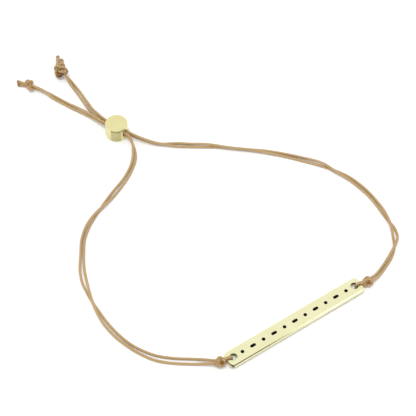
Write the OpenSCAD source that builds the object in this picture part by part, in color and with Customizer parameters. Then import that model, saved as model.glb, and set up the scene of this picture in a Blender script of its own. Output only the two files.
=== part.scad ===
// Cord bracelet lying open on a flat surface: an engraved bar, a sliding bead and two doubled cords.
// The origin is the middle of the loop on the surface, +X runs along the bar and +Y from the bar to the bead.

/* [Bar] */
// Length of the bar
bar_l = 40; // [39:0.5:40.5]
// Width of the bar
bar_w = 4.4; // [3.8:0.1:4.6]
// Thickness of the bar
bar_t = 1.1; // [0.8:0.1:1.1]
// Radius of the bar's corners, seen from above
bar_corner_r = 1.1; // [0.6:0.1:1.4]
// Size of the broken edge along the faces
bar_edge = 0.15; // [0.05:0.05:0.3]
// Diameter of the hole at each end
hole_d = 1.9; // [1.9:0.1:2.1]
// Distance from a hole's centre to the end of the bar
hole_inset = 1.9; // [1.8:0.1:2]
// Distance from the middle of the loop to the middle of the bar
bar_y = -37.5; // [-38:0.1:-37]

/* [Marks] */
// Number of marks along the bar, dots and dashes in turn
mark_count = 11; // [3:2:11]
// Distance from one mark to the next
mark_pitch = 3.1; // [2.4:0.1:3.1]
// Diameter of a dot
dot_d = 0.95; // [0.5:0.05:1.2]
// Length of a dash
dash_l = 1.6; // [1.2:0.1:1.8]
// Width of a dash
dash_w = 0.8; // [0.4:0.1:1]
// Depth of the recesses
mark_depth = 0.2; // [0.15:0.05:0.4]
// Room left round the enamel in its recess
mark_gap = 0.03; // [0.02:0.01:0.05]

/* [Bead] */
// Diameter of the bead
bead_d = 6; // [5:0.1:6.5]
// Height of the bead
bead_h = 4.1; // [3.8:0.1:4.6]
// Size of the broken edge round each face
bead_edge = 0.2; // [0.1:0.05:0.4]
// Diameter of the cross hole
bore_d = 2.1; // [2:0.1:2.4]
// Middle of the bead, across and along
bead_at = [-4.1, 37.5]; // [-6:0.1:40]
// Direction of the cross hole, from the loop to the tails, in degrees from +X
bead_turn = 112; // [108:1:116]

/* [Cord] */
// Thickness of one strand
cord_d = 0.7; // [0.5:0.05:0.72]
// Distance between two strands that lie together
pair_pitch = 0.8; // [0.78:0.01:0.82]
// Rings of the strand for each row of its route
rings_per_row = 2; // [1:1:3]

/* [Knots] */
// Diameter of the bar knots
bar_knot_girth = 2.5; // [2.2:0.1:2.8]
// Length of the bar knots
bar_knot_l = 2.4; // [2.2:0.1:2.5]
// Diameter of the stopper knot on the right cord
right_knot_girth = 3.2; // [2.8:0.1:3.4]
// Length of the stopper knot on the right cord
right_knot_l = 4; // [3.4:0.1:4.2]
// Diameter of the stopper knot on the left cord
left_knot_girth = 2.6; // [2.3:0.1:2.9]
// Length of the stopper knot on the left cord
left_knot_l = 2.8; // [2.6:0.1:3.2]
// Distance from a knot to the strands that enter it
knot_gap = 0.15; // [0.1:0.05:0.2]

/* [Hidden] */

gold = "#EFE7B4";
enamel = "#0A0A0A";
cord_tan = "#BE9A68";
$fn = 48;

cord_r = cord_d / 2;
cord_sides = 8;
// The cord passes under each end of the bar and lifts it off the surface
bar_z = cord_d + 0.08;
bar_top = bar_z + bar_t;
hole_x = bar_l / 2 - hole_inset;
bore_z = bead_h / 2;
// Radius of a knot's core and the size of its broken edges
knot_core_r = 0.8;
knot_core_edge = 0.3;
// Tilt of a knot's wraps across its length, and of the melted tips towards the surface
wrap_tilt = 14;
tip_dip = 10;

// Knots: middle x, middle y, direction of the length in degrees from +X, diameter, length
right_bar_knot_at = [21.9, -38.2, 8, bar_knot_girth, bar_knot_l];
left_bar_knot_at = [-21.4, -36.7, 142, bar_knot_girth, bar_knot_l];
right_end_knot_at = [-5.6, 64.2, 90, right_knot_girth, right_knot_l];
left_end_knot_at = [-15.8, 64.3, 122, left_knot_girth, left_knot_l];

// Melted tips: direction in degrees from +X, length from the middle of the knot
right_tips = [[67, 5.8], [54, 4.4]];
left_tips = [[115, 3.9], [131, 3.3]];

// Cord through a hole of the bar, seen from the side: distance from the hole's centre, height.
// It leaves the knot over the end of the bar, goes down through the hole and comes back under the end.
bar_loop = [
    [3.2, 1.6], [2.6, 2.1], [2, 2.32], [1.5, 2.35], [1, 2.35], [0.6, 2.2], [0.5, 1.75],
    [0.5, 1.35], [0.5, 0.95], [0.55, 0.5], [1, 0.38], [1.9, 0.38], [2.6, 0.5], [3.2, 0.95]
];
rings_per_loop_row = 3;

// Places along the bead's cross hole from its middle, and the distance between the two pairs there
bore_stations = [[-4.4, 0.9], [-1.6, 0.8], [1.6, 0.8], [4.4, 0.9]];

// Route of a doubled cord, one row for each place along it: x, y, distance between its two strands,
// how far the pair is turned about its own line in degrees (0 side by side, 90 one on the other),
// and how far the lower strand lies above the surface.
right_route = concat(
    [knot_row(right_bar_knot_at, 1, 0)],
    [
        [25.3, -37.6, 0.8, 0, 0.35], [28.1, -36.5, 0.8, 0, 0], [31.4, -35, 0.8, 30, 0],
        [34.1, -33.2, 0.8, 90, 0], [36.3, -30.8, 1.2, 170, 0], [37.5, -28.2, 1, 215, 0],
        [38, -25.4, 0.8, 280, 0], [38.7, -21.6, 0.8, 340, 0], [39, -17, 0.8, 360, 0],
        [38.6, -13, 0.9, 360, 0], [37.8, -9.2, 0.8, 370, 0], [36.1, -5.3, 0.8, 410, 0],
        [34.3, -1.6, 0.9, 490, 0], [31.9, 1.9, 1, 530, 0], [28.6, 6, 0.9, 540, 0],
        [24.8, 10, 0.8, 560, 0], [21.4, 13, 0.8, 590, 0], [16.8, 17, 0.8, 600, 0],
        [13.2, 20, 0.8, 660, 0], [9.9, 22.6, 0.9, 710, 0], [6.9, 24.9, 1.1, 720, 0],
        [4.2, 26.8, 0.8, 760, 0], [2, 28.6, 0.8, 790, 0.1], [-0.5, 31.3, 0.8, 805, 0.8]
    ],
    bore_rows(1, 810),
    [
        [-5.7, 44.7, 0.8, 840, 0.7], [-5.8, 47.6, 0.8, 890, 0.2], [-5.6, 51.6, 0.9, 900, 0],
        [-5.4, 55.3, 0.9, 900, 0], [-5.4, 58.8, 0.8, 920, 0.15]
    ],
    [knot_row(right_end_knot_at, -1, 990)]
);
left_route = concat(
    [knot_row(left_bar_knot_at, 1, 0)],
    [
        [-24.4, -34, 1.2, 0, 0.3], [-26.3, -32.5, 1.4, 0, 0], [-28.9, -30.6, 1.4, 0, 0],
        [-31.2, -28.7, 1.4, 0, 0], [-33.4, -26.4, 1.3, 0, 0], [-35.1, -23.6, 1.1, 0, 0],
        [-36.6, -20.2, 0.9, 0, 0], [-37.7, -15.8, 1, 0, 0], [-38.1, -11.4, 1, 10, 0],
        [-37.9, -7.4, 0.9, 45, 0], [-37.5, -4.2, 0.8, 90, 0], [-36.8, -1, 0.9, 140, 0],
        [-36.1, 1.5, 1.2, 180, 0], [-35.1, 4.1, 1.2, 180, 0], [-33.9, 6.4, 1, 180, 0],
        [-32.1, 9.2, 0.8, 180, 0], [-29.8, 12.6, 0.8, 180, 0], [-27, 15.2, 0.8, 200, 0],
        [-24.7, 16.6, 0.8, 230, 0], [-22.2, 17.8, 0.8, 270, 0], [-18.3, 19.5, 0.9, 340, 0],
        [-15.4, 20.8, 1.1, 360, 0], [-12.7, 22, 1, 360, 0], [-10, 23.4, 0.9, 360, 0],
        [-7.4, 25.2, 0.8, 360, 0], [-5.5, 26.9, 0.8, 375, 0.1], [-4.2, 28.7, 0.8, 400, 0.3],
        [-3.3, 30.8, 0.8, 442, 0.9]
    ],
    bore_rows(-1, 450),
    [
        [-7.1, 45.3, 0.8, 465, 0.45], [-8.4, 49, 0.8, 500, 0.1], [-10, 52.8, 0.8, 540, 0],
        [-11.7, 56.9, 0.8, 550, 0], [-12.9, 59.9, 0.8, 600, 0.2]
    ],
    [knot_row(left_end_knot_at, -1, 630)]
);

// Middle of the pair inside the bead's cross hole, with side 1 for the right cord and -1 for the left one
function bore_rows(side, turn) = [
    for (s = bore_stations)
        [
            bead_at.x + s[0] * cos(bead_turn) + side * sin(bead_turn) * s[1] / 2,
            bead_at.y + s[0] * sin(bead_turn) - side * cos(bead_turn) * s[1] / 2,
            pair_pitch, turn, bore_z - cord_r - pair_pitch / 2
        ]
];

// Row where a pair meets a knot's flat end, with end 1 past the knot and -1 before it
function knot_row(k, end, turn) = [
    k[0] + end * (k[4] / 2 + knot_gap) * cos(k[2]),
    k[1] + end * (k[4] / 2 + knot_gap) * sin(k[2]),
    pair_pitch, turn, k[3] / 2 - cord_r - pair_pitch / 2 * abs(sin(turn))
];

// Smooth curve through rows of a table, and its slope, at a place counted in rows
function last_row(rows) = len(rows) - 1;
function row_of(rows, i) =
    i < 0 ? 2 * rows[0] - rows[1]
    : i > last_row(rows) ? 2 * rows[last_row(rows)] - rows[last_row(rows) - 1]
    : rows[i];
function curve_terms(rows, i) = let(
    a = row_of(rows, i - 1),
    b = row_of(rows, i),
    c = row_of(rows, i + 1),
    d = row_of(rows, i + 2)
) [b, (c - a) / 2, (2 * a - 5 * b + 4 * c - d) / 2, (3 * b - a - 3 * c + d) / 2];
function curve_at(rows, u) = let(
    i = min(floor(u), last_row(rows) - 1),
    t = u - i,
    k = curve_terms(rows, i)
) k[0] + k[1] * t + k[2] * t * t + k[3] * t * t * t;
function slope_at(rows, u) = let(
    i = min(floor(u), last_row(rows) - 1),
    t = u - i,
    k = curve_terms(rows, i)
) k[1] + 2 * k[2] * t + 3 * k[3] * t * t;

// One strand of a pair at a place along its route, with side 1 or -1
function strand_at(rows, side, u) = let(
    m = curve_at(rows, u),
    s = slope_at(rows, u),
    across = [-s.y, s.x] / norm([s.x, s.y]),
    half = m[2] / 2
) [
    m.x + side * half * cos(m[3]) * across.x,
    m.y + side * half * cos(m[3]) * across.y,
    cord_r + half * (abs(sin(m[3])) + side * sin(m[3])) + max(m[4], 0)
];

function unit(v) = v / norm(v);

// Points of a round tube along a line, one ring a point. The ring's flat vector lies level, or along
// level where the line stays in one upright plane.
function ring_points(line, r, level) = [
    for (i = [0:len(line) - 1])
        let(
            along = unit(line[min(i + 1, len(line) - 1)] - line[max(i - 1, 0)]),
            flat = level == undef ? unit([-along.y, along.x, 0]) : level,
            up = cross(along, flat)
        )
        for (k = [0:cord_sides - 1])
            let(a = 360 * k / cord_sides)
            line[i] + r * (cos(a) * flat + sin(a) * up)
];

module tube(line, r, level) {
    rings = len(line);
    walls = [
        for (i = [0:rings - 2])
            for (k = [0:cord_sides - 1])
                let(
                    n = (k + 1) % cord_sides,
                    low = i * cord_sides,
                    high = low + cord_sides
                )
                each [[low + k, high + k, high + n], [low + k, high + n, low + n]]
    ];
    first_cap = [for (k = [0:cord_sides - 1]) k];
    last_cap = [for (k = [cord_sides - 1:-1:0]) (rings - 1) * cord_sides + k];
    polyhedron(ring_points(line, r, level), concat(walls, [first_cap, last_cap]), convexity = 10);
}

module strand(rows, side) {
    steps = last_row(rows) * rings_per_row;
    tube([for (k = [0:steps]) strand_at(rows, side, k / rings_per_row)], cord_r);
}

// Outline of one mark, with dots at the even places and dashes at the odd ones
module mark_outline(i, grow) {
    if (i % 2 == 0) {
        circle(d = dot_d + 2 * grow);
    } else {
        square([dash_l - dash_w, dash_w + 2 * grow], center = true);
        for (end = [-1, 1])
            translate([end * (dash_l - dash_w) / 2, 0])
                circle(d = dash_w + 2 * grow);
    }
}

// All marks as solids of the same height, standing on z = 0
module mark_row(height, grow) {
    for (i = [0:mark_count - 1])
        translate([(i - (mark_count - 1) / 2) * mark_pitch, bar_y, 0])
            linear_extrude(height)
                mark_outline(i, grow);
}

module rounded_plate() {
    linear_extrude(bar_t)
        union() {
            square([bar_l - 2 * bar_corner_r, bar_w], center = true);
            square([bar_l, bar_w - 2 * bar_corner_r], center = true);
            for (sx = [-1, 1])
                for (sy = [-1, 1])
                    translate([sx * (bar_l / 2 - bar_corner_r), sy * (bar_w / 2 - bar_corner_r)])
                        circle(bar_corner_r);
        }
}

// Upright section with its four corners cut off, for the broken edges of the bar
module broken_section(width) {
    polygon([
        [-width / 2 + bar_edge, 0], [width / 2 - bar_edge, 0],
        [width / 2, bar_edge], [width / 2, bar_t - bar_edge],
        [width / 2 - bar_edge, bar_t], [-width / 2 + bar_edge, bar_t],
        [-width / 2, bar_t - bar_edge], [-width / 2, bar_edge]
    ]);
}

module bar() {
    color(gold)
        difference() {
            translate([0, bar_y, bar_z])
                intersection() {
                    rounded_plate();
                    rotate([90, 0, 0])
                        translate([0, 0, -bar_w])
                            linear_extrude(2 * bar_w)
                                broken_section(bar_l);
                    rotate([90, 0, 90])
                        translate([0, 0, -bar_l])
                            linear_extrude(2 * bar_l)
                                broken_section(bar_w);
                }
            for (end = [-1, 1])
                translate([end * hole_x, bar_y, bar_z - 1])
                    cylinder(d = hole_d, h = bar_t + 2);
            translate([0, 0, bar_top - mark_depth])
                mark_row(1, 0);
        }
}

module bar_marks() {
    color(enamel)
        translate([0, 0, bar_top - mark_depth + mark_gap])
            mark_row(mark_depth - 2 * mark_gap, -mark_gap);
}

module slider_bead() {
    color(gold)
        translate([bead_at.x, bead_at.y, 0])
            difference() {
                rotate_extrude()
                    polygon([
                        [0, 0], [bead_d / 2 - bead_edge, 0], [bead_d / 2, bead_edge],
                        [bead_d / 2, bead_h - bead_edge], [bead_d / 2 - bead_edge, bead_h], [0, bead_h]
                    ]);
                translate([0, 0, bore_z])
                    rotate([0, 90, bead_turn])
                        cylinder(d = bore_d, h = 2 * bead_d, center = true);
            }
}

// Body of a knot: a core along its length, two level wraps and one that crosses them
module knot_body(k) {
    wrap_r = k[3] / 2 - cord_r;
    wrap_x = k[4] / 2 - cord_r - 0.1;
    translate([k[0], k[1], k[3] / 2])
        rotate([0, 0, k[2]]) {
            rotate([0, 90, 0])
                knot_core(k[4]);
            for (end = [-1, 1])
                translate([end * wrap_x / 2, 0, 0])
                    rotate([0, 90, wrap_tilt])
                        wrap(wrap_r);
            rotate([0, 90, -3 * wrap_tilt])
                wrap(wrap_r);
        }
}

module knot_core(l) {
    rotate_extrude()
        polygon([
            [0, -l / 2], [knot_core_r - knot_core_edge, -l / 2],
            [knot_core_r, -l / 2 + knot_core_edge], [knot_core_r, l / 2 - knot_core_edge],
            [knot_core_r - knot_core_edge, l / 2], [0, l / 2]
        ]);
}

module wrap(r) {
    rotate_extrude()
        translate([r, 0])
            circle(cord_r, $fn = 24);
}

module bar_knot(k, end) {
    hole = [end * hole_x, bar_y];
    reach = unit([k[0], k[1]] - hole);
    rows = [for (p = bar_loop) [hole.x + p[0] * reach.x, hole.y + p[0] * reach.y, p[1]]];
    steps = last_row(rows) * rings_per_loop_row;
    color(cord_tan)
        union() {
            knot_body(k);
            tube(
                [for (i = [0:steps]) curve_at(rows, i / rings_per_loop_row)],
                cord_r,
                [-reach.y, reach.x, 0]
            );
        }
}

module end_knot(k, tips) {
    color(cord_tan)
        union() {
            knot_body(k);
            translate([k[0], k[1], k[3] / 2])
                for (tip = tips)
                    rotate([0, 90 + tip_dip, tip[0]])
                        cylinder(r = cord_r, h = tip[1]);
        }
}

module right_strand_a() { color(cord_tan) strand(right_route, 1); }
module right_strand_b() { color(cord_tan) strand(right_route, -1); }
module left_strand_a() { color(cord_tan) strand(left_route, 1); }
module left_strand_b() { color(cord_tan) strand(left_route, -1); }
module right_bar_knot() { bar_knot(right_bar_knot_at, 1); }
module left_bar_knot() { bar_knot(left_bar_knot_at, -1); }
module right_end_knot() { end_knot(right_end_knot_at, right_tips); }
module left_end_knot() { end_knot(left_end_knot_at, left_tips); }

bar();
bar_marks();
slider_bead();
right_strand_a();
right_strand_b();
left_strand_a();
left_strand_b();
right_bar_knot();
left_bar_knot();
right_end_knot();
left_end_knot();
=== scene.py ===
"""Cord bracelet lying open on a pale floor: engraved bar, sliding bead, doubled cords and their knots.

Lengths in the tables are in millimetres in the row frame, and go into Blender in metres.
"""
import math

import bpy
import numpy as np
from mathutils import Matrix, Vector
from mathutils.geometry import tessellate_polygon


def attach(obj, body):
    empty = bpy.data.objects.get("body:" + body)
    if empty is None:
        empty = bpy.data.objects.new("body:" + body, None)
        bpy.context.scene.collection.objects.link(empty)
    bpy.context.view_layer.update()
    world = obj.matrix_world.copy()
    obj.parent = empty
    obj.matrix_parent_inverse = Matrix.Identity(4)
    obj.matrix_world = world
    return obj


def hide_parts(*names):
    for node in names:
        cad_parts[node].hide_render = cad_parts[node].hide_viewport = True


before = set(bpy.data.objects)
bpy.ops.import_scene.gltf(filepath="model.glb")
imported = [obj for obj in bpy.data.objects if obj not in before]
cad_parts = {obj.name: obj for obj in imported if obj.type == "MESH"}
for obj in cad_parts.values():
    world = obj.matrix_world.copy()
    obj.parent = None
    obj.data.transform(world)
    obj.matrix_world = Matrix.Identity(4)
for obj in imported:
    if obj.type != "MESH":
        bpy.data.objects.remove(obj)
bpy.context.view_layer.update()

MM = 0.001
scene = bpy.context.scene
scene.view_settings.view_transform = "Standard"
scene.view_settings.look = "None"

# Camera: the point that it looks at, its azimuth and elevation in degrees, its distance, and its scale
# in pixels of the 416-pixel frame per millimetre at that point
CAM_TARGET = (2.19, 3.48, 0.0)
CAM_AZIMUTH = -34.0
CAM_ELEVATION = 54.0
CAM_DISTANCE = 400.0
CAM_SCALE = 3.89
FRAME_PX = 416
SENSOR_MM = 36.0

# Sizes that the source gives too
CORD_R = 0.35
PAIR_PITCH = 0.8
KNOT_GAP = 0.15
BAR = {"l": 40.0, "w": 4.4, "t": 1.1, "corner": 1.1, "y": -37.5, "z": 0.78}
HOLE_R = 0.95
HOLE_X = 18.1
MARKS = {"count": 11, "pitch": 3.1, "dot_r": 0.475, "dash_l": 1.6, "dash_w": 0.8, "depth": 0.2}
BEAD = {"x": -4.1, "y": 37.5, "r": 3.0, "h": 4.1, "bore_r": 1.05, "bore_z": 2.05, "turn": 112.0}
# Darker panel on the bead's side: direction of its middle and half of its width, in degrees
PANEL_MIDDLE = -127.0
PANEL_HALF = 26.0
# Width of the bevel along the bar's faces, and of the rounding of the bead's rims
BAR_EDGE = 0.23
BEAD_EDGE = 0.22
# Twist of the cord: plies, length of one turn, height of their relief
PLIES = 3
LAY = 2.2
PLY_RELIEF = 0.016
CORD_SIDES = 16
# Distance between the points of a strand's line and of a finished knot's line
STRAND_STEP = 0.2
FINE_STEP = 0.15
# Angles in degrees beyond which an edge of a mesh stays sharp
CORD_SHARP = 60
METAL_SHARP = 40

# Knots: middle x, middle y, direction of the length in degrees from +X, diameter, length
RIGHT_BAR_KNOT = (21.9, -38.2, 8, 2.5, 2.4)
LEFT_BAR_KNOT = (-21.4, -36.7, 142, 2.5, 2.4)
RIGHT_END_KNOT = (-5.6, 64.2, 90, 3.2, 4.0)
LEFT_END_KNOT = (-15.8, 64.3, 122, 2.6, 2.8)


def knot_row(k, end, turn):
    """Row of a route where a pair of strands meets a knot, with end 1 past the knot and -1 before it."""
    a = math.radians(k[2])
    reach = end * (k[4] / 2 + KNOT_GAP)
    rise = k[3] / 2 - CORD_R - PAIR_PITCH / 2 * abs(math.sin(math.radians(turn)))
    return (k[0] + reach * math.cos(a), k[1] + reach * math.sin(a), PAIR_PITCH, turn, rise)


def bore_rows(side, turn):
    """Rows of a pair inside the bead, with side 1 for the right cord and -1 for the left one.

    d is the distance from the bore's middle along it, and apart the distance between the two pairs.
    """
    c, s = math.cos(math.radians(BEAD["turn"])), math.sin(math.radians(BEAD["turn"]))
    rise = BEAD["bore_z"] - CORD_R - PAIR_PITCH / 2
    return [
        (BEAD["x"] + d * c + side * s * apart / 2, BEAD["y"] + d * s - side * c * apart / 2, PAIR_PITCH, turn, rise)
        for d, apart in ((-4.4, 0.9), (-1.6, 0.8), (1.6, 0.8), (4.4, 0.9))
    ]


# Route of a doubled cord, a row for each place: x, y, distance between the strands, turn of the pair
# about its own line in degrees, height of the lower strand above the surface
RIGHT_ROUTE = [
    knot_row(RIGHT_BAR_KNOT, 1, 0),
    (25.3, -37.6, 0.8, 0, 0.35), (28.1, -36.5, 0.8, 0, 0), (31.4, -35, 0.8, 30, 0),
    (34.1, -33.2, 0.8, 90, 0), (36.3, -30.8, 1.2, 170, 0), (37.5, -28.2, 1, 215, 0),
    (38, -25.4, 0.8, 280, 0), (38.7, -21.6, 0.8, 340, 0), (39, -17, 0.8, 360, 0),
    (38.6, -13, 0.9, 360, 0), (37.8, -9.2, 0.8, 370, 0), (36.1, -5.3, 0.8, 410, 0),
    (34.3, -1.6, 0.9, 490, 0), (31.9, 1.9, 1, 530, 0), (28.6, 6, 0.9, 540, 0),
    (24.8, 10, 0.8, 560, 0), (21.4, 13, 0.8, 590, 0), (16.8, 17, 0.8, 600, 0),
    (13.2, 20, 0.8, 660, 0), (9.9, 22.6, 0.9, 710, 0), (6.9, 24.9, 1.1, 720, 0),
    (4.2, 26.8, 0.8, 760, 0), (2, 28.6, 0.8, 790, 0.1), (-0.5, 31.3, 0.8, 805, 0.8),
    *bore_rows(1, 810),
    (-5.7, 44.7, 0.8, 840, 0.7), (-5.8, 47.6, 0.8, 890, 0.2), (-5.6, 51.6, 0.9, 900, 0),
    (-5.4, 55.3, 0.9, 900, 0), (-5.4, 58.8, 0.8, 920, 0.15),
    knot_row(RIGHT_END_KNOT, -1, 990),
]
LEFT_ROUTE = [
    knot_row(LEFT_BAR_KNOT, 1, 0),
    (-24.4, -34, 1.2, 0, 0.3), (-26.3, -32.5, 1.4, 0, 0), (-28.9, -30.6, 1.4, 0, 0),
    (-31.2, -28.7, 1.4, 0, 0), (-33.4, -26.4, 1.3, 0, 0), (-35.1, -23.6, 1.1, 0, 0),
    (-36.6, -20.2, 0.9, 0, 0), (-37.7, -15.8, 1, 0, 0), (-38.1, -11.4, 1, 10, 0),
    (-37.9, -7.4, 0.9, 45, 0), (-37.5, -4.2, 0.8, 90, 0), (-36.8, -1, 0.9, 140, 0),
    (-36.1, 1.5, 1.2, 180, 0), (-35.1, 4.1, 1.2, 180, 0), (-33.9, 6.4, 1, 180, 0),
    (-32.1, 9.2, 0.8, 180, 0), (-29.8, 12.6, 0.8, 180, 0), (-27, 15.2, 0.8, 200, 0),
    (-24.7, 16.6, 0.8, 230, 0), (-22.2, 17.8, 0.8, 270, 0), (-18.3, 19.5, 0.9, 340, 0),
    (-15.4, 20.8, 1.1, 360, 0), (-12.7, 22, 1, 360, 0), (-10, 23.4, 0.9, 360, 0),
    (-7.4, 25.2, 0.8, 360, 0), (-5.5, 26.9, 0.8, 375, 0.1), (-4.2, 28.7, 0.8, 400, 0.3),
    (-3.3, 30.8, 0.8, 442, 0.9),
    *bore_rows(-1, 450),
    (-7.1, 45.3, 0.8, 465, 0.45), (-8.4, 49, 0.8, 500, 0.1), (-10, 52.8, 0.8, 540, 0),
    (-11.7, 56.9, 0.8, 550, 0), (-12.9, 59.9, 0.8, 600, 0.2),
    knot_row(LEFT_END_KNOT, -1, 630),
]


def make_camera():
    a, e = math.radians(CAM_AZIMUTH), math.radians(CAM_ELEVATION)
    look = Vector((-math.sin(a) * math.cos(e), math.cos(a) * math.cos(e), -math.sin(e)))
    data = bpy.data.cameras.new("camera")
    data.sensor_width = SENSOR_MM
    data.lens = CAM_SCALE * CAM_DISTANCE / FRAME_PX * SENSOR_MM
    data.clip_start = 0.01
    data.clip_end = 20.0
    camera = bpy.data.objects.new("camera", data)
    scene.collection.objects.link(camera)
    camera.location = (Vector(CAM_TARGET) - look * CAM_DISTANCE) * MM
    camera.rotation_euler = look.to_track_quat("-Z", "Y").to_euler()
    scene.camera = camera


make_camera()


def curve_through(rows, per_row):
    """Smooth curve through the rows of a table, with per_row points for each row."""
    p = np.array(rows, float)
    p = np.vstack([2 * p[0] - p[1], p, 2 * p[-1] - p[-2]])
    t = (np.arange(per_row) / per_row)[:, None]
    spans = []
    for i in range(len(p) - 3):
        a, b, c, d = p[i:i + 4]
        spans.append(
            b + (c - a) / 2 * t + (2 * a - 5 * b + 4 * c - d) / 2 * t ** 2 + (3 * b - a - 3 * c + d) / 2 * t ** 3
        )
    return np.vstack(spans + [p[-2:-1]])


def smoothed(line, width):
    """The line with its corners eased over width points, and both ends kept."""
    kernel = np.hanning(width + 2)[1:-1]
    kernel /= kernel.sum()
    half = width // 2
    head = 2 * line[0] - line[half:0:-1]
    tail = 2 * line[-1] - line[-2:-2 - half:-1]
    wide = np.vstack([head, line, tail])
    return np.stack([np.convolve(wide[:, k], kernel, "valid") for k in range(line.shape[1])], 1)


def run_of(line):
    """Distance of each point from the start, along the line."""
    return np.concatenate([[0], np.cumsum(np.linalg.norm(np.diff(line, axis=0), axis=1))])


def resampled(line, step):
    """Points a step apart along the line, as near as a whole number of them allows."""
    run = run_of(line)
    places = np.linspace(0, run[-1], max(2, int(round(run[-1] / step)) + 1))
    return np.stack([np.interp(places, run, line[:, k]) for k in range(3)], 1)


def length_of(line):
    return float(np.linalg.norm(np.diff(line, axis=0), axis=1).sum())


def strand_line(route, side):
    """Centreline of one strand of a pair, with side 1 or -1."""
    m = curve_through(route, per_row=16)
    slope = np.gradient(m[:, :2], axis=0)
    slope /= np.linalg.norm(slope, axis=1)[:, None]
    across = np.stack([-slope[:, 1], slope[:, 0]], 1)
    half, turn = m[:, 2] / 2, np.radians(m[:, 3])
    xy = m[:, :2] + (side * half * np.cos(turn))[:, None] * across
    z = CORD_R + half * (np.abs(np.sin(turn)) + side * np.sin(turn)) + np.maximum(m[:, 4], 0)
    line = smoothed(np.column_stack([xy, z]), width=9)
    line[:, 2] = np.maximum(line[:, 2], CORD_R)
    return resampled(line, STRAND_STEP)


def tube_frames(line):
    """Direction, side and up vectors of each point, carried along the line without twist."""
    along = np.gradient(line, axis=0)
    along /= np.linalg.norm(along, axis=1)[:, None]
    side = np.cross(along[0], (0, 0, 1.0))
    side /= np.linalg.norm(side)
    sides = []
    for d in along:
        side = side - side.dot(d) * d
        side /= np.linalg.norm(side)
        sides.append(side)
    sides = np.array(sides)
    return along, sides, np.cross(along, sides)


def link(name, mesh, material):
    obj = bpy.data.objects.new(name, mesh)
    scene.collection.objects.link(obj)
    mesh.materials.append(material)
    return obj


def smooth_mesh(mesh, sharp_degrees):
    mesh.polygons.foreach_set("use_smooth", [True] * len(mesh.polygons))
    mesh.set_sharp_from_angle(angle=math.radians(sharp_degrees))
    mesh.update()


# Melted tip: how much it swells, how far from its end that is most, and the length that it is rounded over
TIP_SWELL = 0.22
TIP_MIDDLE = 0.45
TIP_ROUND = 0.35


def cord_mesh(name, line, girth=1.0, heat_and_shade=None, tip=False):
    """Tube of three twisted plies along a line in mm, with a map of turn and length along it.

    girth is each point's share of the cord's radius, and heat_and_shade how scorched it is and how dark its painted
    shade in a knot is, from 0 to 2. tip rounds and swells the far end, as melted cord.
    """
    sides = CORD_SIDES
    n = len(line)
    heat_and_shade = np.zeros(n) if heat_and_shade is None else heat_and_shade
    run = run_of(line)
    _, side, up = tube_frames(line)
    angle = np.arange(sides) * 2 * math.pi / sides
    lobes = np.cos(PLIES * (angle[None, :] - 2 * math.pi * run[:, None] / LAY))
    radius = CORD_R - PLY_RELIEF + PLY_RELIEF * lobes
    radius = radius * np.broadcast_to(girth, n)[:, None]
    if tip:
        left = run[-1] - run
        swell = 1 + TIP_SWELL * np.exp(-((left - TIP_MIDDLE) / TIP_ROUND) ** 2)
        dome = np.sqrt(np.clip(1 - (1 - np.clip(left / TIP_ROUND, 0, 1)) ** 2, 0.02, 1))
        radius = radius * (swell * dome)[:, None]
    ring = line[:, None, :] + radius[:, :, None] * (
        np.cos(angle)[None, :, None] * side[:, None, :] + np.sin(angle)[None, :, None] * up[:, None, :]
    )
    verts = np.vstack([ring.reshape(-1, 3), line[:1], line[-1:]]) * MM
    faces, maps = [], []
    for i in range(n - 1):
        for k in range(sides):
            j = (k + 1) % sides
            faces.append((i * sides + k, i * sides + j, (i + 1) * sides + j, (i + 1) * sides + k))
            u0, u1 = k / sides, (k + 1) / sides
            maps += [(u0, run[i]), (u1, run[i]), (u1, run[i + 1]), (u0, run[i + 1])]
    for k in range(sides):
        j = (k + 1) % sides
        faces.append((n * sides, j, k))
        maps += [(0, 0)] * 3
        base = (n - 1) * sides
        faces.append((n * sides + 1, base + k, base + j))
        maps += [(0, run[-1])] * 3
    mesh = bpy.data.meshes.new(name)
    mesh.from_pydata(verts.tolist(), [], faces)
    layer = mesh.uv_layers.new(name="along")
    layer.data.foreach_set("uv", np.array(maps, float).ravel())
    scorch_and_shade = mesh.attributes.new("scorch_and_shade", "FLOAT", "POINT")
    scorch_and_shade.data.foreach_set("value", np.concatenate([np.repeat(heat_and_shade, sides), heat_and_shade[:1], heat_and_shade[-1:]]))
    smooth_mesh(mesh, CORD_SHARP)
    return mesh


def node_tree(name):
    material = bpy.data.materials.new(name)
    material.use_nodes = True
    tree = material.node_tree
    return material, tree, tree.nodes["Principled BSDF"]


def add(tree, kind, **values):
    """A shader node with its options and the values of its inputs set."""
    node = tree.nodes.new("ShaderNode" + kind)
    for key, value in values.items():
        if hasattr(node, key):
            setattr(node, key, value)
        else:
            node.inputs[key.replace("_", " ")].default_value = value
    return node


def math_node(tree, operation, *values):
    """Result of a sum on numbers and other nodes' results."""
    node = tree.nodes.new("ShaderNodeMath")
    node.operation = operation
    for socket, value in zip(node.inputs, values):
        if isinstance(value, (int, float)):
            socket.default_value = value
        else:
            tree.links.new(value, socket)
    return node.outputs[0]


def plus(tree, a, b):
    return math_node(tree, "ADD", a, b)


def times(tree, a, b):
    return math_node(tree, "MULTIPLY", a, b)


def mapped(tree, value, source, target, **how):
    """The value moved from the range source to the range target."""
    node = add(tree, "MapRange", **how)
    for key, number in zip(("From Min", "From Max", "To Min", "To Max"), (*source, *target)):
        node.inputs[key].default_value = number
    tree.links.new(value, node.inputs["Value"])
    return node.outputs[0]


def mixed(tree, share, a, b, **how):
    """Colour a with a share of colour b, each of them three numbers or another node's result."""
    node = add(tree, "MixRGB", **how)
    tree.links.new(share, node.inputs[0])
    for socket, colour in zip(node.inputs[1:], (a, b)):
        if isinstance(colour, tuple):
            socket.default_value = (*colour, 1)
        else:
            tree.links.new(colour, socket)
    return node.outputs[0]


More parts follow.
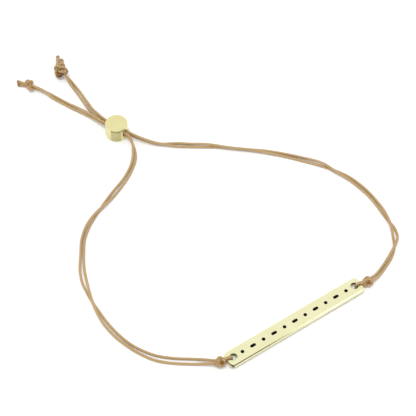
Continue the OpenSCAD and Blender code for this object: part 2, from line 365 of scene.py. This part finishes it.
def noise_at(tree, vector, **how):
    node = add(tree, "TexNoise", **how)
    tree.links.new(vector, node.inputs["Vector"])
    return node.outputs[0]


def object_place(tree):
    return add(tree, "TexCoord").outputs["Object"]


def bumped(tree, shader, height, strength, distance):
    """Fine relief of a surface: a height from 0 to 1 stands for distance metres."""
    bump = add(tree, "Bump", Strength=strength, Distance=distance)
    tree.links.new(height, bump.inputs["Height"])
    tree.links.new(bump.outputs[0], shader.inputs["Normal"])


def ramp(tree, value, stops):
    """Colour for a value between 0 and 1, from stops of place and colour."""
    node = tree.nodes.new("ShaderNodeValToRGB")
    tree.links.new(value, node.inputs[0])
    elements = node.color_ramp.elements
    while len(elements) < len(stops):
        elements.new(0.5)
    for element, (place, colour) in zip(elements, stops):
        element.position = place
        element.color = (*colour, 1)
    return node.outputs[0]


# Colours of the cord: from the grooves between its plies, darkened as painted shade, to its light fibres and the
# crowns of the plies, lightened as a painted highlight; and where it was melted, also used for the painted shade in
# the knots
CORD_TONES = [(0.25, (0.335, 0.185, 0.06)), (0.55, (0.44, 0.30, 0.138)), (0.85, (0.56, 0.43, 0.25))]
SCORCHED = (0.31, 0.135, 0.022)
BURNT = (0.12, 0.045, 0.01)
# What the mesh attribute "shade" leaves of the gold's colour: painted shade, painted dark reflections and the bead's
# darker panel
PAINTED_SHADE_TINT = (0.08, 0.065, 0.02)


def cord_material():
    """Tan twisted cord: fine fibres along the plies, painted shade in the grooves between them and a painted
    highlight on their crowns, soft patches of colour, scorched where it was melted, and painted shade in the knots.
    """
    material, tree, shader = node_tree("cord")
    links = tree.links
    uv = add(tree, "UVMap", uv_map="along")
    split = add(tree, "SeparateXYZ")
    links.new(uv.outputs[0], split.inputs[0])
    u, v = split.outputs[0], split.outputs[1]
    # Coordinates that follow the plies round the cord
    turn = times(tree, math_node(tree, "SUBTRACT", u, math_node(tree, "DIVIDE", v, LAY)), 2 * math.pi)
    ring = add(tree, "CombineXYZ")
    links.new(math_node(tree, "COSINE", turn), ring.inputs[0])
    links.new(math_node(tree, "SINE", turn), ring.inputs[1])
    links.new(times(tree, v, 0.6), ring.inputs[2])
    fibre = noise_at(tree, ring.outputs[0], Scale=4.5, Detail=3.0, Roughness=0.6)
    # Painted shade in the grooves between the plies and a painted highlight on their crowns
    painted_ply_shading = math_node(tree, "MULTIPLY_ADD", math_node(tree, "COSINE", times(tree, turn, float(PLIES))), 0.5, 0.5)
    patch = noise_at(tree, object_place(tree), Scale=130.0, Detail=2.0)
    tone = plus(tree, plus(tree, times(tree, fibre, 0.45), times(tree, painted_ply_shading, 0.35)), times(tree, patch, 0.25))
    colour = ramp(tree, tone, CORD_TONES)
    # Orange up to 1 on the mesh attribute "scorch_and_shade", and from there to 2 dark brown: scorching on the melted
    # tips, painted shade in the knots
    scorch_and_shade = add(tree, "Attribute", attribute_name="scorch_and_shade").outputs["Fac"]
    colour = mixed(tree, math_node(tree, "MINIMUM", scorch_and_shade, 1.0), colour, SCORCHED)
    burnt = math_node(tree, "MAXIMUM", math_node(tree, "SUBTRACT", scorch_and_shade, 1.0), 0.0)
    colour = mixed(tree, burnt, colour, BURNT)
    links.new(colour, shader.inputs["Base Color"])
    bumped(tree, shader, tone, 0.35, 0.00006)
    shader.inputs["Roughness"].default_value = 0.5
    shader.inputs["Specular IOR Level"].default_value = 0.35
    shader.inputs["Sheen Weight"].default_value = 0.2
    shader.inputs["Sheen Roughness"].default_value = 0.4
    return material


def gold_material(name, grain, deep, pale):
    """Plated metal between two colours, with fine brushing along grain, the stretch of the noise in X, Y and Z.

    The mesh attribute "shade" darkens it: painted shade in the holes and the bore and on the bead's side, painted
    dark reflections on the bar's near left corner and over the bead's panel, and the bead's darker panel.
    """
    material, tree, shader = node_tree(name)
    links = tree.links
    place = object_place(tree)
    stretch = add(tree, "Mapping")
    stretch.inputs["Scale"].default_value = grain
    links.new(place, stretch.inputs["Vector"])
    brush = noise_at(tree, stretch.outputs[0], Scale=1.0, Detail=4.0, Roughness=0.65)
    cloud = noise_at(tree, place, Scale=180.0, Detail=1.0)
    tone = plus(tree, times(tree, brush, 0.3), times(tree, cloud, 0.7))
    colour = ramp(tree, tone, [(0.3, deep), (0.7, pale)])
    # Painted shade and painted dark reflections, from the mesh attribute "shade"
    shade = add(tree, "Attribute", attribute_name="shade").outputs["Fac"]
    links.new(mixed(tree, shade, colour, PAINTED_SHADE_TINT, blend_type="MULTIPLY"), shader.inputs["Base Color"])
    links.new(mapped(tree, tone, (0.3, 0.7), (0.16, 0.26)), shader.inputs["Roughness"])
    bumped(tree, shader, brush, 0.08, 0.00001)
    shader.inputs["Metallic"].default_value = 1.0
    return material


def enamel_material():
    """Black enamel with a slightly uneven cured surface."""
    material, tree, shader = node_tree("enamel")
    noise = noise_at(tree, object_place(tree), Scale=2500.0, Detail=2.0)
    colour = ramp(tree, noise, [(0.3, (0.001, 0.001, 0.001)), (0.8, (0.005, 0.005, 0.004))])
    tree.links.new(colour, shader.inputs["Base Color"])
    bumped(tree, shader, noise, 0.2, 0.00002)
    shader.inputs["Roughness"].default_value = 0.6
    shader.inputs["Specular IOR Level"].default_value = 0.05
    return material


CORD = cord_material()
BAR_GOLD = gold_material("gold_bar", (60.0, 5000.0, 5000.0), (0.87, 0.84, 0.50), (0.92, 0.89, 0.57))
BEAD_GOLD = gold_material("gold_bead", (900.0, 900.0, 9000.0), (0.80, 0.73, 0.35), (0.86, 0.79, 0.42))
ENAMEL = enamel_material()

# Centrelines of the four strands
STRANDS = {
    "right_strand_a": strand_line(RIGHT_ROUTE, 1),
    "right_strand_b": strand_line(RIGHT_ROUTE, -1),
    "left_strand_a": strand_line(LEFT_ROUTE, 1),
    "left_strand_b": strand_line(LEFT_ROUTE, -1),
}
cords = {name: link("cord_" + name, cord_mesh("cord_" + name, line), CORD) for name, line in STRANDS.items()}


# Drawing a knot tight: rounds, and the part of them in which the cord shortens
KNOT_ROUNDS = 600
SHORTENING = 0.75
# Share of each fault that one round puts right: a segment's length, a bend, too little distance, and the
# way to the knot's middle
PULL, EASE, PUSH, CENTRE = 0.45, 0.12, 0.3, 0.1
# Points of one chain nearer than this many times reach along it don't push each other
NEIGHBOURS = 1.25


def relaxed(chains, kept, middle, reach, tight):
    """Chains of points drawn tight round a middle point, kept apart from each other and above the floor.

    reach is the distance that two cords keep, and tight each chain's length at the end as a share of its
    length at the start. The first two points of each chain stay where they are, and so do its last ones,
    as many as kept says.
    """
    p = np.vstack(chains)
    starts = np.cumsum([0] + [len(c) for c in chains])
    chain = np.concatenate([[i] * len(c) for i, c in enumerate(chains)])
    index = np.concatenate([np.arange(len(c)) for c in chains])
    gap = np.abs(index[:, None] - index[None, :])
    seg = np.array([length_of(c) / (len(c) - 1) for c in chains])[chain]
    # Points that stay, and the middle part of each chain, which is drawn to the knot's middle
    held = np.zeros(len(p), bool)
    core = []
    for a, b, last in zip(starts[:-1], starts[1:], kept):
        held[[a, a + 1]] = True
        held[b - last:b] = True
        quarter = (b - last + 2 - a) // 4
        core += range(a + quarter, b - last + 2 - quarter)
    pinned = p[held].copy()
    joined = np.flatnonzero(chain[:-1] == chain[1:])
    inner = np.array([i for i in joined if i > 0 and chain[i - 1] == chain[i]])
    free = np.flatnonzero(~held)
    for step in range(KNOT_ROUNDS):
        share = 1 + (tight - 1) * min(1, step / (SHORTENING * KNOT_ROUNDS))
        near = np.ceil(NEIGHBOURS * reach / (seg * share)).astype(int)
        for _ in range(2):
            d = p[joined + 1] - p[joined]
            long = np.linalg.norm(d, axis=1, keepdims=True)
            pull = PULL * d * (1 - seg[joined, None] * share / long)
            np.add.at(p, joined, pull)
            np.add.at(p, joined + 1, -pull)
        p[inner] += EASE * ((p[inner - 1] + p[inner + 1]) / 2 - p[inner])
        d = p[:, None, :] - p[None, :, :]
        far = np.sqrt((d ** 2).sum(2)) + 1e-9
        close = (far < reach) & ((chain[:, None] != chain[None, :]) | (gap > near[:, None]))
        push = np.where(close, (reach - far) / far, 0)
        p += PUSH * (push[:, :, None] * d).sum(1)
        p[free] += CENTRE * (middle - p[core].mean(0))
        p[:, 2] = np.maximum(p[:, 2], CORD_R)
        p[held] = pinned
    return [p[a:b] for a, b in zip(starts[:-1], starts[1:])]


# Distance between the points of a knot while it is drawn tight, and from the end of a strand or the root
# of a tail to the next point
KNOT_STEP = 0.36
STUB = 0.3
# How far the open knot starts above the middle of the tight one
KNOT_LIFT = 0.9
QUARTERS = (0.25, 0.5, 0.75)


def knot_start(k, loose, roll, flip):
    """Points of an open overhand knot along a knot's length.

    loose is its size, roll its turn about its length in degrees, and flip 1 or -1 for the two hands.
    """
    # A polynomial overhand knot, whose ends run out along its first axis
    t = np.linspace(-2.05, 2.05, 44)
    local = np.stack([t ** 3 - 3 * t, flip * (t ** 4 - 4 * t ** 2 + 1.2), (t ** 5 - 10 * t) * 0.16], 1) * loose
    a, r = math.radians(k[2]), math.radians(roll)
    e1 = np.array([math.cos(a), math.sin(a), 0])
    flat = np.array([-math.sin(a), math.cos(a), 0])
    up = np.array([0, 0, 1.0])
    e2 = math.cos(r) * flat + math.sin(r) * up
    e3 = np.cross(e1, e2)
    return local @ np.stack([e1, e2, e3])


def doubled_knot(k, starts, ends, tails, loose, roll, flip, tight, reach, shift=(0, 0)):
    """Two strands tied together in one overhand knot, from the strands' ends to the given exits.

    starts holds, for each strand, its end and the next point into the knot, ends the point where it leaves
    the knot and the next one out, and tails the fixed points that follow. shift moves the middle of the
    knot away from the one in the table.
    """
    body = knot_start(k, loose, roll, flip)
    _, side, _ = tube_frames(body)
    centre = np.array([k[0], k[1], k[3] / 2 + KNOT_LIFT])
    chains = []
    for sign, (s0, s1), (e1, e0), tail in zip((1, -1), starts, ends, tails):
        line = body + sign * PAIR_PITCH / 2 * side + centre
        way_in = [s1 + (line[0] - s1) * f for f in QUARTERS]
        way_out = [line[-1] + (e1 - line[-1]) * f for f in QUARTERS]
        chain = resampled(np.vstack([[s0], [s1], way_in, line, way_out, [e1], [e0]]), KNOT_STEP)
        chain[1], chain[-2] = s1, e1
        chains.append(np.vstack([chain, *tail]))
    kept = [2 + len(tail) for tail in tails]
    middle = np.array([k[0] + shift[0], k[1] + shift[1], k[3] / 2])
    return relaxed(chains, kept, middle, reach, tight)


def strand_end(name, last):
    """A strand's end point and the next point past it, into the knot."""
    line = STRANDS[name]
    p, q = (line[-1], line[-2]) if last else (line[0], line[1])
    out = (p - q) / np.linalg.norm(p - q)
    return p, p + STUB * out


def fine(line):
    """The relaxed points as a smooth line of more points."""
    return resampled(smoothed(curve_through(line, per_row=4), width=9), FINE_STEP)


def knotted_girth(line, k, squeeze):
    """Share of the cord's radius at each point: squeeze up to 0.9 of the knot's half length, and 1 from 1.3."""
    out = np.linalg.norm(line[:, :2] - (k[0], k[1]), axis=1) / (k[4] / 2)
    return squeeze + (1 - squeeze) * np.clip((out - 0.9) / 0.4, 0, 1)


def knot_darkening(line, k, core, spot):
    """Deeper colour of the cord towards the middle of its knot, and a dark spot of painted shade in it.

    core is how deep the colour is in the middle, and spot holds the place of the painted shade from the
    knot's middle, its radius and how deep it is.
    """
    middle = np.array([k[0], k[1], k[3] / 2])
    out = np.linalg.norm(line - middle, axis=1)
    from_spot = np.linalg.norm(line - middle - spot[:3], axis=1)
    glow = core * np.exp(-(out / (0.4 * k[3])) ** 2)
    return np.maximum(glow, spot[4] * np.exp(-(from_spot / spot[3]) ** 2))


# Melted tips, each as the place of its end and the place where it leaves the knot
RIGHT_TIPS = (((-3.45, 69.3, 0.55), (-5.55, 65.9, 1.4)), ((-3.15, 67.7, 0.5), (-5.1, 64.7, 1.3)))
LEFT_TIPS = (((-17.3, 67.7, 0.5), (-16.05, 65.05, 1.25)), ((-17.8, 66.7, 0.42), (-16.1, 64.95, 0.6)))
# Scorching towards a tip's end: how strong and how far back, for the end itself and for the tail behind it
TIP_HEAT = ((1.6, 0.75), (0.25, 2.2))


def end_knot(name, k, strands, tips, squeeze, swell, core, spot, **how):
    """Stopper knot on a pair of strands, with its two tails swell times as thick as the cord."""
    ends, tails = [], []
    for tip, root in np.array(tips):
        next_out = root + STUB * ((tip - root) / np.linalg.norm(tip - root))
        ends.append((root, next_out))
        tails.append(resampled(np.vstack([next_out, tip]), KNOT_STEP)[1:])
    starts = [strand_end(s, True) for s in strands]
    parts = []
    for line, tail in zip(doubled_knot(k, starts, ends, tails, **how), tails):
        line = fine(line)
        run = run_of(line)
        left = run[-1] - run
        heat_and_shade = sum(strength * np.exp(-(left / back) ** 2) for strength, back in TIP_HEAT)
        heat_and_shade = np.maximum(heat_and_shade, knot_darkening(line, k, core, spot))
        girth = knotted_girth(line, k, squeeze)
        # Swollen over the outer 0.6 of the tail's length, and less and less back to 1.6 of it
        girth = girth + (swell - girth) * np.clip(1.6 - left / length_of(tail), 0, 1)
        parts.append(cord_mesh(name, line, girth, heat_and_shade, tip=True))
    return joined_piece(name, parts)


def joined_piece(name, meshes):
    """One object out of several cord meshes."""
    objects = [link(name + "_part", m, CORD) for m in meshes]
    if len(objects) > 1:
        with bpy.context.temp_override(active_object=objects[0], selected_editable_objects=objects):
            bpy.ops.object.join()
    objects[0].name = name
    objects[0].data.name = name
    return objects[0]


# Cord through a hole of the bar, seen from the side: distance from the hole's centre, height
BAR_LOOP = [
    (2.45, 2.15), (2, 2.32), (1.5, 2.35), (1, 2.35), (0.6, 2.2), (0.5, 1.75),
    (0.5, 1.35), (0.5, 0.95), (0.55, 0.5), (1, 0.38), (1.9, 0.38), (2.45, 0.45),
]


def bar_knot(name, k, end, strands, squeeze, core, spot, **how):
    """Knot beside the bar's end 1 or -1, with the loop of cord through the bar's hole there."""
    hole = np.array([end * HOLE_X, BAR["y"]])
    reach = np.array([k[0], k[1]]) - hole
    reach /= np.linalg.norm(reach)
    loop = np.array([(hole[0] + d * reach[0], hole[1] + d * reach[1], h) for d, h in BAR_LOOP])
    starts = [strand_end(s, False) for s in strands]
    ends = [(loop[0], loop[1]), (loop[-1], loop[-2])]
    over, under = doubled_knot(k, starts, ends, ((), ()), **how)
    line = fine(np.vstack([over[:-1], loop[1:-1], under[:-1][::-1]]))
    heat_and_shade = knot_darkening(line, k, core, spot)
    return joined_piece(name, [cord_mesh(name, line, knotted_girth(line, k, squeeze), heat_and_shade)])


RIGHT_PAIR = ("right_strand_a", "right_strand_b")
LEFT_PAIR = ("left_strand_a", "left_strand_b")
# Each knot's spot puts a dark patch of painted shade into it
knots = {
    "right_bar_knot": bar_knot(
        "knot_right_bar", RIGHT_BAR_KNOT, 1, RIGHT_PAIR,
        squeeze=0.9, core=0.45, spot=(0.05, -0.47, 0.5, 0.6, 1.3),
        loose=0.8, roll=50, flip=1, tight=0.48, reach=0.54,
    ),
    "left_bar_knot": bar_knot(
        "knot_left_bar", LEFT_BAR_KNOT, -1, LEFT_PAIR,
        squeeze=0.82, core=0.25, spot=(0.22, -0.67, 0.6, 0.5, 3.6),
        loose=0.8, roll=0, flip=-1, tight=0.43, reach=0.49, shift=(-0.3, -0.2),
    ),
    "right_end_knot": end_knot(
        "knot_right_end", RIGHT_END_KNOT, RIGHT_PAIR, RIGHT_TIPS,
        squeeze=1.08, swell=1.35, core=0.1, spot=(-0.95, -1.8, 0.0, 1.1, 2.6),
        loose=0.85, roll=150, flip=1, tight=0.74, reach=0.80, shift=(-0.75, -0.8),
    ),
    "left_end_knot": end_knot(
        "knot_left_end", LEFT_END_KNOT, LEFT_PAIR, LEFT_TIPS,
        squeeze=0.92, swell=1.1, core=0.15, spot=(0.5, -0.5, 0.3, 0.5, 1.4),
        loose=0.8, roll=90, flip=-1, tight=0.52, reach=0.56, shift=(0.5, 0.05),
    ),
}

for name, obj in cords.items():
    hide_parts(name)
    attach(obj, "root")
for name, obj in knots.items():
    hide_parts(name)
    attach(obj, "root")


# Steps round a corner of the bar, a dot, the end of a dash, a hole of the bar, the bead and its bore
CORNER_STEPS = 8
DOT_STEPS = 20
DASH_STEPS = 8
HOLE_STEPS = 40
BEAD_STEPS = 96
BORE_STEPS = 48


def rounded_outline(inset):
    """Points round the bar's outline, moved in by inset."""
    r = BAR["corner"] - inset
    x, y = BAR["l"] / 2 - BAR["corner"], BAR["w"] / 2 - BAR["corner"]
    points = []
    for sx, sy, a0 in ((1, 1, 0), (-1, 1, 90), (-1, -1, 180), (1, -1, 270)):
        for i in range(CORNER_STEPS + 1):
            a = math.radians(a0 + 90 * i / CORNER_STEPS)
            points.append((sx * x + r * math.cos(a), BAR["y"] + sy * y + r * math.sin(a)))
    return points


def circle_points(cx, cy, r, steps):
    angles = [2 * math.pi * i / steps for i in range(steps)]
    return [(cx + r * math.cos(a), cy + r * math.sin(a)) for a in angles]


def mark_outline(i):
    """Outline of one mark: dots at the even places, dashes at the odd ones."""
    cx = (i - (MARKS["count"] - 1) / 2) * MARKS["pitch"]
    if i % 2 == 0:
        return circle_points(cx, BAR["y"], MARKS["dot_r"], DOT_STEPS)
    r, x = MARKS["dash_w"] / 2, (MARKS["dash_l"] - MARKS["dash_w"]) / 2
    turns = [math.radians(-90 + 180 * k / DASH_STEPS) for k in range(DASH_STEPS + 1)]
    right = [(cx + x + r * math.cos(a), BAR["y"] + r * math.sin(a)) for a in turns]
    left = [(cx - x - r * math.cos(a), BAR["y"] - r * math.sin(a)) for a in turns]
    return right + left


def quarter_turn(steps):
    return [math.radians(90 * k / steps) for k in range(steps + 1)]


class Shell:
    """Loops of points joined by walls and flat faces."""

    def __init__(self):
        self.verts, self.faces = [], []

    def loop(self, points, z):
        """Adds points at one height and returns their numbers."""
        first = len(self.verts)
        self.verts += [(x, y, z) for x, y in points]
        return list(range(first, len(self.verts)))

    def wall(self, low, high, inward=False):
        """Joins two loops, facing outward unless inward is set."""
        n = len(low)
        for i in range(n):
            quad = (low[i], low[(i + 1) % n], high[(i + 1) % n], high[i])
            self.faces.append(quad[::-1] if inward else quad)

    def flat(self, loops, up=True):
        """Fills the first loop, with the others as holes in it."""
        flat_index = [i for loop in loops for i in loop]
        corners = [[Vector(self.verts[i]) for i in loop] for loop in loops]
        for tri in tessellate_polygon(corners):
            a, b, c = (flat_index[i] for i in tri)
            pa, pb, pc = (self.verts[i] for i in (a, b, c))
            area = (pb[0] - pa[0]) * (pc[1] - pa[1]) - (pc[0] - pa[0]) * (pb[1] - pa[1])
            if abs(area) < 1e-12:
                continue
            self.faces.append((a, b, c) if (area > 0) == up else (c, b, a))

    def mesh(self, name):
        mesh = bpy.data.meshes.new(name)
        mesh.from_pydata([(x * MM, y * MM, z * MM) for x, y, z in self.verts], [], self.faces)
        mesh.validate()
        smooth_mesh(mesh, METAL_SHARP)
        return mesh


def bar_mesh():
    """The bar with bevelled edges, its two holes with eased rims, and the recesses of its marks.

    soft rounds both edges of a bevel, rim is the easing of a hole, and rest a narrow flat ring inside each
    edge, which keeps the shading of the faces flat.
    """
    edge, soft, rim, rest = BAR_EDGE, 0.03, 0.08, 0.03
    low, high = BAR["z"], BAR["z"] + BAR["t"]
    shell = Shell()
    quarter = quarter_turn(5)
    # Distance from the outline and from the face, from the flat of a face over the bevel to the side
    bevel = [
        (edge + soft, 0), (edge, soft / 3), (edge - soft, soft),
        (soft, edge - soft), (soft / 3, edge), (0, edge + soft),
    ]
    levels = [(edge + soft + rest, low)] + [(inset, low + z) for inset, z in bevel]
    levels += [(inset, high - z) for inset, z in reversed(bevel)] + [(edge + soft + rest, high)]
    rings = [shell.loop(rounded_outline(inset), z) for inset, z in levels]
    for a, b in zip(rings, rings[1:]):
        shell.wall(a, b)
    tops, bottoms = [rings[-1]], [rings[0]]
    for end in (-1, 1):
        grow = [(rim + rest, low)] + [(rim * (1 - math.sin(a)), low + rim * (1 - math.cos(a))) for a in quarter]
        grow += [(rim * (1 - math.cos(a)), high - rim * (1 - math.sin(a))) for a in quarter] + [(rim + rest, high)]
        hole = [shell.loop(circle_points(end * HOLE_X, BAR["y"], HOLE_R + g, HOLE_STEPS), z) for g, z in grow]
        for a, b in zip(hole, hole[1:]):
            shell.wall(a, b, inward=True)
        tops.append(hole[-1])
        bottoms.append(hole[0])
    for i in range(MARKS["count"]):
        outline = mark_outline(i)
        mouth = shell.loop(outline, high)
        floor = shell.loop(outline, high - MARKS["depth"])
        shell.wall(floor, mouth, inward=True)
        shell.flat([floor])
        tops.append(mouth)
    shell.flat(tops)
    shell.flat(bottoms, up=False)
    return shell.mesh("bar")


def set_shade(mesh, shade_at):
    """Stores how dark each point of a mesh is painted, from its place in mm."""
    values = [shade_at(v.co / MM) for v in mesh.vertices]
    mesh.attributes.new("shade", "FLOAT", "POINT").data.foreach_set("value", values)


# How dark the bar is painted: painted shade in its holes, and a painted dark reflection on the upper bevel and
# the upper half of the side of its near left corner, each past the angle CORNER_TURN of that corner, towards the
# bar's left end, and before it
HOLE_SHADE = 0.91
CORNER_TURN = -118
BEVEL_SHADES = (1.0, 0.7)
SIDE_SHADES = (0.6, 0.1)
# Painted dark reflection on the side of the corner: the angle of its middle, and the angle that it fades over
PATCH_TURN = -124
PATCH_FADE = 16


def bar_shade(p):
    """Painted shade on the walls of the two holes, and a painted dark reflection round the edge of the near left
    corner.
    """
    for end in (-1, 1):
        if math.hypot(p.x - end * HOLE_X, p.y - BAR["y"]) < HOLE_R + 0.03:
            return HOLE_SHADE
    x, y = p.x + BAR["l"] / 2 - BAR["corner"], p.y - BAR["y"] + BAR["w"] / 2 - BAR["corner"]
    if x > 0.01 or y > 0.01 or math.hypot(x, y) < BAR["corner"] - BAR_EDGE + 0.02:
        return 0.0
    angle = math.degrees(math.atan2(y, x))
    patch = min(1.0, max(0.0, 1.6 - abs(angle - PATCH_TURN) / PATCH_FADE))
    before = angle >= CORNER_TURN
    if p.z < BAR["z"] + BAR["t"] / 2:
        return patch
    if p.z < BAR["z"] + BAR["t"] - BAR_EDGE - 0.02:
        return max(patch, SIDE_SHADES[before])
    return BEVEL_SHADES[before]


bar = link("bar_plate", bar_mesh(), BAR_GOLD)
set_shade(bar.data, bar_shade)
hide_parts("bar")
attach(bar, "root")


def bead_mesh():
    """The bead turned with rounded edges, with the cross hole cut through it.

    The rings under the upper edge carry the thin painted dark reflection over the panel, and rest is a narrow flat
    ring inside each edge.
    """
    edge, rest = BEAD_EDGE, 0.04
    r, h = BEAD["r"], BEAD["h"]
    shell = Shell()
    quarter = quarter_turn(6)
    levels = [(r - edge - rest, 0)] + [(r - edge * (1 - math.sin(a)), edge * (1 - math.cos(a))) for a in quarter]
    levels += [(r, h - edge - d) for d in (0.28, 0.2, 0.08, 0.03)]
    levels += [(r - edge * (1 - math.cos(a)), h - edge * (1 - math.sin(a))) for a in quarter] + [(r - edge - rest, h)]
    rings = [shell.loop(circle_points(BEAD["x"], BEAD["y"], q, BEAD_STEPS), z) for q, z in levels]
    for a, b in zip(rings, rings[1:]):
        shell.wall(a, b)
    shell.flat([rings[-1]])
    shell.flat([rings[0]], up=False)
    body = link("bead_body", shell.mesh("bead_body"), BEAD_GOLD)
    drill = Shell()
    c, s = math.cos(math.radians(BEAD["turn"])), math.sin(math.radians(BEAD["turn"]))
    # Rings a little inside both mouths keep the bore's painted shade off the bead's side
    loops = []
    for d in (-r - 1, 0.25 - r, r - 0.25, r + 1):
        first = len(drill.verts)
        for x, z in circle_points(0, BEAD["bore_z"], BEAD["bore_r"], BORE_STEPS):
            drill.verts.append((BEAD["x"] + d * c + x * s, BEAD["y"] + d * s - x * c, z))
        loops.append(list(range(first, first + BORE_STEPS)))
    for a, b in zip(loops, loops[1:]):
        drill.wall(a, b, inward=True)
    drill.faces += [tuple(loops[0]), tuple(reversed(loops[-1]))]
    cutter = link("bead_cutter", drill.mesh("bead_cutter"), BEAD_GOLD)
    cut = body.modifiers.new("bore", "BOOLEAN")
    cut.operation = "DIFFERENCE"
    cut.solver = "EXACT"
    cut.object = cutter
    graph = bpy.context.evaluated_depsgraph_get()
    mesh = bpy.data.meshes.new_from_object(body.evaluated_get(graph))
    for obj in (body, cutter):
        bpy.data.objects.remove(obj)
    mesh.name = "bead"
    mesh.materials.clear()
    smooth_mesh(mesh, METAL_SHARP)
    return mesh


# How dark the bead is painted: painted shade in its bore, the darker panel, a thin painted dark reflection over it,
# painted shade on the rim over the panel and to the right of it, and painted shade on the rest of the side
BORE_SHADE = 0.95
PANEL_SHADE = 0.44
PAINTED_LINE_SHADE = 0.92
RIM_SHADE = 0.5
AROUND_SHADE = 0.12


def bead_shade(p):
    """Painted shade in the cross hole, a darker panel on the near side under a thin painted dark reflection, and
    painted shade on part of the rim and the rest of the side.
    """
    x, y = p.x - BEAD["x"], p.y - BEAD["y"]
    out, low, high = math.hypot(x, y), 0.3, BEAD["h"] - 0.23
    if out < BEAD["r"] - 0.03 and low < p.z < high:
        return BORE_SHADE
    from_middle = (math.degrees(math.atan2(y, x)) - PANEL_MIDDLE + 180) % 360 - 180
    if p.z > high:
        return RIM_SHADE if -PANEL_HALF < from_middle < 2 * PANEL_HALF and out > BEAD["r"] - 0.2 else 0.0
    if abs(from_middle) > PANEL_HALF or p.z < 0.2:
        return AROUND_SHADE
    # A thin painted dark reflection under the rim over the panel, and the darker panel below it
    return PAINTED_LINE_SHADE if high - 0.25 < p.z < high - 0.06 else PANEL_SHADE


bead = link("bead_slider", bead_mesh(), BEAD_GOLD)
set_shade(bead.data, bead_shade)
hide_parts("slider_bead")
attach(bead, "root")

marks = bpy.data.objects["bar_marks"]
for slot in marks.material_slots:
    slot.material = ENAMEL


def make_floor():
    material, tree, shader = node_tree("floor")
    noise = noise_at(tree, object_place(tree), Scale=400.0, Detail=2.0)
    colour = ramp(tree, noise, [(0.2, (0.93, 0.93, 0.935)), (0.8, (0.95, 0.95, 0.955))])
    tree.links.new(colour, shader.inputs["Base Color"])
    shader.inputs["Roughness"].default_value = 0.9
    shader.inputs["Specular IOR Level"].default_value = 0.0
    mesh = bpy.data.meshes.new("floor")
    half = 3.0
    mesh.from_pydata([(-half, -half, 0), (half, -half, 0), (half, half, 0), (-half, half, 0)], [], [(0, 1, 2, 3)])
    link("floor", mesh, material)


def make_light(name, kind, power, colour, travel):
    data = bpy.data.lights.new(name, kind)
    data.energy = power
    data.color = colour
    light = bpy.data.objects.new(name, data)
    scene.collection.objects.link(light)
    light.rotation_euler = Vector(travel).to_track_quat("-Z", "Y").to_euler()
    return light


def make_lights():
    # Nearly overhead, so that only a thin shadow shows at the lower right
    key = make_light("key", "SUN", 1.05, (1.0, 0.99, 0.97), (0.15, 0.04, -1.0))
    key.data.angle = math.radians(6)
    key.visible_glossy = False
    # Strip with a grid, that the right half of the bar's near edge reflects
    place, aim = Vector((0.086, -0.2, 0.098)), Vector((0.013, -0.0395, 0.0))
    strip = make_light("strip", "AREA", 0.00042, (1.0, 1.0, 1.0), aim - place)
    strip.location = place
    strip.data.shape = "RECTANGLE"
    strip.data.size, strip.data.size_y = 0.048, 0.05
    strip.data.spread = math.radians(17)


# Colours of the studio round the part, and of the dark stretch in it
STUDIO_BRIGHT = (0.98, 0.99, 1.0)
STUDIO_DARK = (0.15, 0.11, 0.045)


def make_world():
    """Bright studio all round, with a narrow dark stretch low down on the near side, for the metal's edges."""
    world = bpy.data.worlds.new("studio")
    scene.world = world
    world.use_nodes = True
    tree = world.node_tree
    back = tree.nodes["Background"]
    split = add(tree, "SeparateXYZ")
    tree.links.new(add(tree, "TexCoord").outputs["Generated"], split.inputs[0])
    x, y, z = split.outputs

    def edge(value, start, end, rising):
        ends = (0.0, 1.0) if rising else (1.0, 0.0)
        return mapped(tree, value, (start, end), ends, interpolation_type="SMOOTHSTEP")

    # On the camera's side and low down
    near = edge(plus(tree, times(tree, x, -0.6), times(tree, y, -0.8)), 0.0, 0.2, True)
    low = edge(z, 0.6, 0.8, False)
    # The right half of the bar's near edge reflects what lies further right, where it isn't dark
    right = edge(x, 0.305, 0.345, False)
    # Left of the middle it would darken the flat tops of the metal, seen from the back and the right
    left = edge(x, 0.08, 0.2, True)
    dark = times(tree, times(tree, times(tree, near, low), right), left)
    tree.links.new(mixed(tree, dark, STUDIO_BRIGHT, STUDIO_DARK), back.inputs[0])
    back.inputs[1].default_value = 1.0


make_floor()
make_world()
make_lights()
